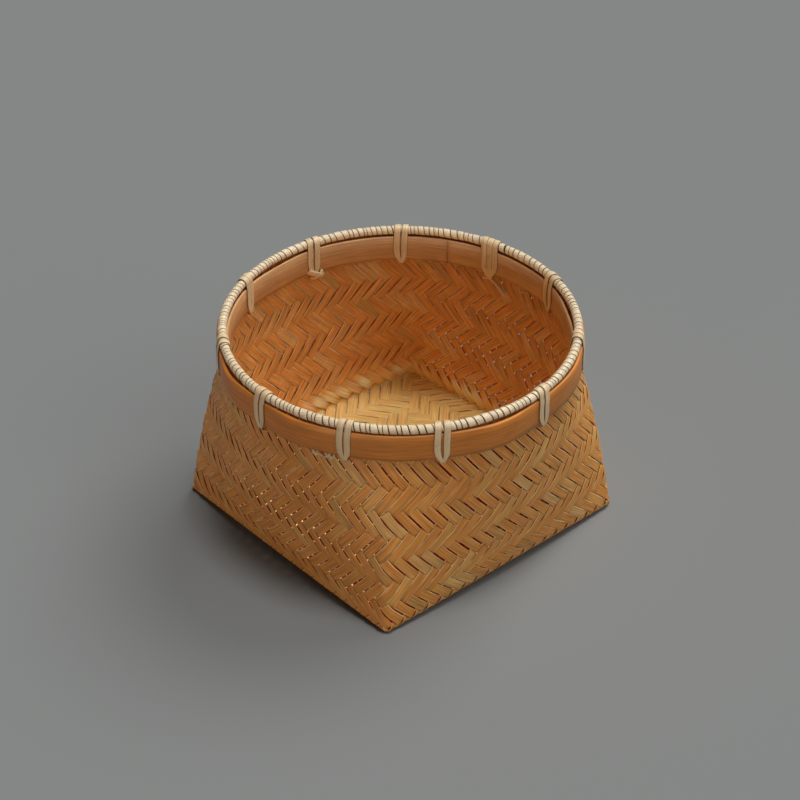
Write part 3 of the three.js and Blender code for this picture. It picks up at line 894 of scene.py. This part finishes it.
def inner_face(settings):
    """The radius of the inner hoop's face that looks at the plait."""
    return PLAIT_HIGH.x - CAD_PLAIT - settings.fit - settings.crevice


def lashing_azimuth(node):
    """The direction of a lashing from the middle of the mouth, from 0 to a full turn."""
    low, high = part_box(node)
    return math.atan2(low.y + high.y, low.x + high.x) % TURN


def bowed_off(azimuth, ties, bows):
    """How far a hoop stands off at an azimuth: nothing under the lashings, most halfway between two."""
    span = int(np.searchsorted(ties, azimuth % TURN, "right")) - 1
    start = ties[span]
    end = ties[(span + 1) % len(ties)]
    share = (azimuth - start) % TURN / ((end - start) % TURN)
    return bows[span] * MM * math.sin(math.pi * share) ** 2


def hoop_piece(node, inner, outer, high, settings, material):
    """A hoop bent from one flat band, its ends tapered to lap over each other."""
    seam, tint, bows = HOOPS[node][1:]
    tip = 0.3 * MM
    thickness = outer - inner
    middle = (inner + outer) / 2
    lap = settings.lap / middle
    clear = 2 * settings.fit / middle
    rise = thickness - 2 * tip - settings.fit
    low = HOOP_LOW.z
    # How far the corners are eased and the outer face bulges, and the shares of the height where it does
    ease, crown, bulge = 0.22 * thickness, 0.12 * thickness, (0.25, 0.75)
    # Waves round the hoop by hand: how high, how many, and how far the hoop's own number shifts them
    waves = ((0.1 * MM, 3, 9), (0.06 * MM, 7, 5))
    ties = [lashing_azimuth(node) for node in LASHING_NODES]
    tapered = np.linspace(0, lap, 12)
    plain = np.linspace(lap + clear, TURN - clear, 300)
    sections = []
    grain = []
    for step in np.concatenate([tapered, plain, TURN + tapered]):
        near = inner
        far = outer
        if step <= lap:
            far = inner + tip + step / lap * rise
        if step >= TURN:
            near = inner + tip + settings.fit + (step - TURN) / lap * rise
        share = (far - near) / thickness
        corner = ease * share
        swell = crown * share
        outline = [
            (near + corner, low),
            (far - corner, low),
            (far, low + corner),
            *[(far + swell / 2, low + level * (high - low)) for level in bulge],
            (far, high - corner),
            (far - corner, high),
            (near + corner, high),
            (near, high - corner),
            (near, low + corner),
        ]
        azimuth = math.radians(seam) + step
        wave = sum(size * math.sin(count * step + tint * shift) for size, count, shift in waves)
        wave += bowed_off(azimuth, ties, bows)
        sections.append([polar(radius + wave, azimuth, height) for radius, height in outline])
        grain += [(azimuth * middle, height - high, tint) for _, height in outline]
    return lofted(node + "_bamboo", sections, grain, material)


class BASKET_OT_hoops(bpy.types.Operator):
    """Bends the inner and outer hoops that grip the plait's top edge."""

    bl_idname = "basket.hoops"
    bl_label = "Hoops"

    def execute(self, context):
        settings = context.scene.basket_rim
        inside = inner_face(settings)
        outside = PLAIT_HIGH.x + settings.stand_off
        top = HOOP_HIGH.z + settings.proud
        bands = (
            ("inner_hoop", inside - settings.inner_thickness, inside, HOOP_HIGH.z, settings.inner_tan),
            ("outer_hoop", outside, outside + settings.outer_thickness, top, settings.outer_tan),
        )
        for node, inner, outer, high, tan in bands:
            # Planed bamboo: a fine straight grain, smoother than the splints, and painted shade along the
            # lower edge
            slot = HOOPS[node][0]
            edge = 1.08 * (high - HOOP_LOW.z)
            name = "planed_bamboo_" + slot
            material = bamboo_material(name, [(0.0, tan)], 0.35 * MM, gloss=0.42, edge_shade=edge)
            piece = hoop_piece(node, inner, outer, high, settings, material)
            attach(piece, BODY)
            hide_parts(node)
        return {"FINISHED"}


class BASKET_OT_roll(bpy.types.Operator):
    """Winds the split-cane binder round the core of the rim roll."""

    bl_idname = "basket.roll"
    bl_label = "Bound Roll"

    def execute(self, context):
        settings = context.scene.basket_rim
        thickness = settings.binder_thickness
        count = settings.binder_turns
        # The gap between turns, the range of their widths, and the azimuth in degrees where they start
        gap, narrowest, widest, start = 0.4 * MM, 0.5, 1.5, 100
        steps_per_turn = 12
        random_width = random.Random(5)
        widths = np.array([random_width.uniform(narrowest, widest) for _ in range(count + 1)])
        span = TURN - gap / MOUTH_RADIUS
        middles = np.cumsum(widths) - widths / 2
        middles = (middles - middles[0]) / (middles[-1] - middles[0]) * span
        turns = np.arange(count * steps_per_turn + 1) / steps_per_turn
        azimuth = math.radians(start) + np.interp(turns, np.arange(len(middles)), middles)
        round_angle = -turns * TURN
        depth = ROLL_RADIUS - thickness / 2
        centre = polar(MOUTH_RADIUS, azimuth, ROLL_HEIGHT)
        away = polar(np.cos(round_angle), azimuth, np.sin(round_angle))
        line = {
            "points": centre + depth * away,
            "outward": away,
            "breadth": np.interp(turns, np.arange(len(widths)), widths),
            "strip": 3.0,
        }
        pitch = span * MOUTH_RADIUS / count
        # Split cane: smooth, nearly white and a little glossy, with small dark marks and painted shade in
        # the joints between turns
        edge = pitch / 2 - gap / 2
        look = {"gloss": 0.32, "streaks": 0.14, "specks": settings.speck, "edge_shade": edge}
        material = bamboo_material("split_cane", [(0.0, settings.cane)], 0.4 * MM, **look)
        piece = swept("binder_split_cane", [line], "binder", pitch - gap, thickness, material)
        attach(piece, BODY)
        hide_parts("rim_binder")
        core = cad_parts["rim_core"]
        core.data.materials.clear()
        core.data.materials.append(cane_material(settings.core))
        return {"FINISHED"}


def lashing_lines(settings, azimuth, loops, number):
    """The loops of one lashing, each from its hole inside, over the roll and down to its hole outside."""
    stitch = HOOP_LOW.z - 2.6 * MM
    play = 0.1 * MM
    snug = play + settings.strand_thickness / 2
    inside = inner_face(settings) - settings.inner_thickness - snug
    outside = PLAIT_HIGH.x + settings.stand_off + settings.outer_thickness + snug + play
    arch = ROLL_RADIUS + snug
    bend = 1.6 * MM
    end = 1 * MM
    quarter = np.linspace(0, math.pi / 2, 6)
    tuck = np.column_stack([bend - bend * np.sin(quarter), bend - bend * np.cos(quarter)])
    over = np.linspace(0, math.pi, 13)
    rise = np.linspace(stitch + 1.5 * bend, HOOP_HIGH.z - 1 * MM, 6)
    path = np.concatenate(
        [
            [(MOUTH_RADIUS - end, stitch)],
            (inside, stitch) + tuck,
            np.column_stack([np.full_like(rise, inside), rise]),
            np.column_stack([MOUTH_RADIUS - arch * np.cos(over), ROLL_HEIGHT + arch * np.sin(over)]),
            np.column_stack([np.full_like(rise, outside), rise[::-1]]),
            (outside, stitch) + tuck[::-1] * (-1, 1),
            [(MOUTH_RADIUS + end, stitch)],
        ]
    )
    ahead = np.gradient(path, axis=0)
    ahead /= np.linalg.norm(ahead, axis=1)[:, None]
    steps = np.linalg.norm(np.diff(path, axis=0), axis=1)
    run = np.concatenate([[0], np.cumsum(steps)]) / steps.sum()

    # The loops run together at the stitch: the height over which they spread, how far apart they lie
    # at the stitch, and how much they overlap above
    spread_height, pinched, overlap = 6.5 * MM, 0.8 * MM, 0.35 * MM
    # How much less than their full spread some lashings have, and the share of its breadth a strand keeps
    slackness = 1 - 0.18 * math.sin(2.4 * number)
    tapered = 0.45
    spread = eased(np.clip((path[:, 1] - stitch) / spread_height, 0, 1))
    slant = (-LASHING_SLANT if number == TRIPLE_LASHING else LASHING_SLANT) * np.sin(TURN * run)
    lines = []
    for loop in range(loops):
        sideways = loop - (loops - 1) / 2
        spacing = pinched + spread * (settings.strand_width - overlap) * slackness
        turned = azimuth + (sideways * spacing + slant) / MOUTH_RADIUS
        line = {
            "points": polar(path[:, 0], turned, path[:, 1]),
            "outward": polar(-ahead[:, 1], turned, ahead[:, 0]),
            "breadth": tapered + (1 - tapered) * spread,
            "strip": float(10 * number + loop),
        }
        lines.append(line)
    return lines


class BASKET_OT_lashings(bpy.types.Operator):
    """Ties the lashings of split cane over the roll and both hoops."""

    bl_idname = "basket.lashings"
    bl_label = "Lashings"

    def execute(self, context):
        settings = context.scene.basket_rim
        # Split cane, handled more than the binder: yellower and less glossy, with painted shade along the
        # strands' edges
        width = settings.strand_width
        look = {"gloss": 0.36, "streaks": 0.15, "specks": settings.speck, "edge_shade": width / 2}
        material = bamboo_material("split_cane_lashing", [(0.0, settings.lashing)], 0.35 * MM, **look)
        for number, node in enumerate(LASHING_NODES):
            loops = 3 if number == TRIPLE_LASHING else 2
            lines = lashing_lines(settings, lashing_azimuth(node), loops, number)
            piece = swept(node + "_strands", lines, "strand", width, settings.strand_thickness, material)
            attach(piece, BODY)
            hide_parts(node)
        return {"FINISHED"}


class BASKET_OT_loose_ends(bpy.types.Operator):
    """Leaves the lashings' short cut ends and knot inside, and frayed scraps of cane outside."""

    bl_idname = "basket.loose_ends"
    bl_label = "Loose Ends"

    def execute(self, context):
        shape = PlaitShape(context.scene.basket_plait)
        material = bpy.data.materials["split_cane_lashing"]
        lines = []
        for number, (breadth, places) in enumerate(LOOSE_ENDS):
            turned, heights, insets = np.array(places).T
            level = shape.section(turned / 90 * shape.reach, heights * MM, insets[0] * MM)
            outward = np.column_stack([level, np.zeros(len(level))])
            outward /= np.linalg.norm(outward, axis=1)[:, None]
            points = np.column_stack([level, heights * MM]) - outward * (insets - insets[0])[:, None] * MM
            facing = outward * (-1 if insets[0] > 0 else 1)
            lines.append({"points": points, "outward": facing, "breadth": breadth, "strip": 200.0 + number})
        piece = swept("lashing_loose_ends", lines, "scrap", 1 * MM, 0.4 * MM, material)
        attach(piece, BODY)
        return {"FINISHED"}


RIM_OPERATORS = (BASKET_OT_hoops, BASKET_OT_roll, BASKET_OT_lashings, BASKET_OT_loose_ends)


class VIEW3D_PT_basket(bpy.types.Panel):
    """Lists the basket's pieces and the sizes and colours that can be changed."""

    bl_label = "Plaited Basket"
    bl_space_type = "VIEW_3D"
    bl_region_type = "UI"
    bl_category = "Basket"

    def draw(self, context):
        groups = (
            (context.scene.basket_stage, (BASKET_OT_stage,)),
            (context.scene.basket_plait, (BASKET_OT_plait,)),
            (context.scene.basket_rim, RIM_OPERATORS),
        )
        for settings, operators in groups:
            box = self.layout.box()
            for name in settings.bl_rna.properties.keys():
                if name not in ("rna_type", "name"):
                    box.prop(settings, name)
            for operator in operators:
                box.operator(operator.bl_idname)


CLASSES = (
    PlaitSettings,
    RimSettings,
    StageSettings,
    BASKET_OT_stage,
    BASKET_OT_plait,
    *RIM_OPERATORS,
    VIEW3D_PT_basket,
)


def register():
    for cls in CLASSES:
        bpy.utils.register_class(cls)
    bpy.types.Scene.basket_plait = bpy.props.PointerProperty(type=PlaitSettings)
    bpy.types.Scene.basket_rim = bpy.props.PointerProperty(type=RimSettings)
    bpy.types.Scene.basket_stage = bpy.props.PointerProperty(type=StageSettings)


def unregister():
    del bpy.types.Scene.basket_stage
    del bpy.types.Scene.basket_rim
    del bpy.types.Scene.basket_plait
    for cls in reversed(CLASSES):
        bpy.utils.unregister_class(cls)


def main():
    """Builds the whole scene."""
    register()
    bpy.ops.basket.stage()
    bpy.ops.basket.plait()
    bpy.ops.basket.hoops()
    bpy.ops.basket.roll()
    bpy.ops.basket.lashings()
    bpy.ops.basket.loose_ends()
    boxes = {"cad": cad_box, "visual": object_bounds()}
    {name: [list(corner) for corner in box] for name, box in boxes.items()}


if __name__ == "__main__":
    main()
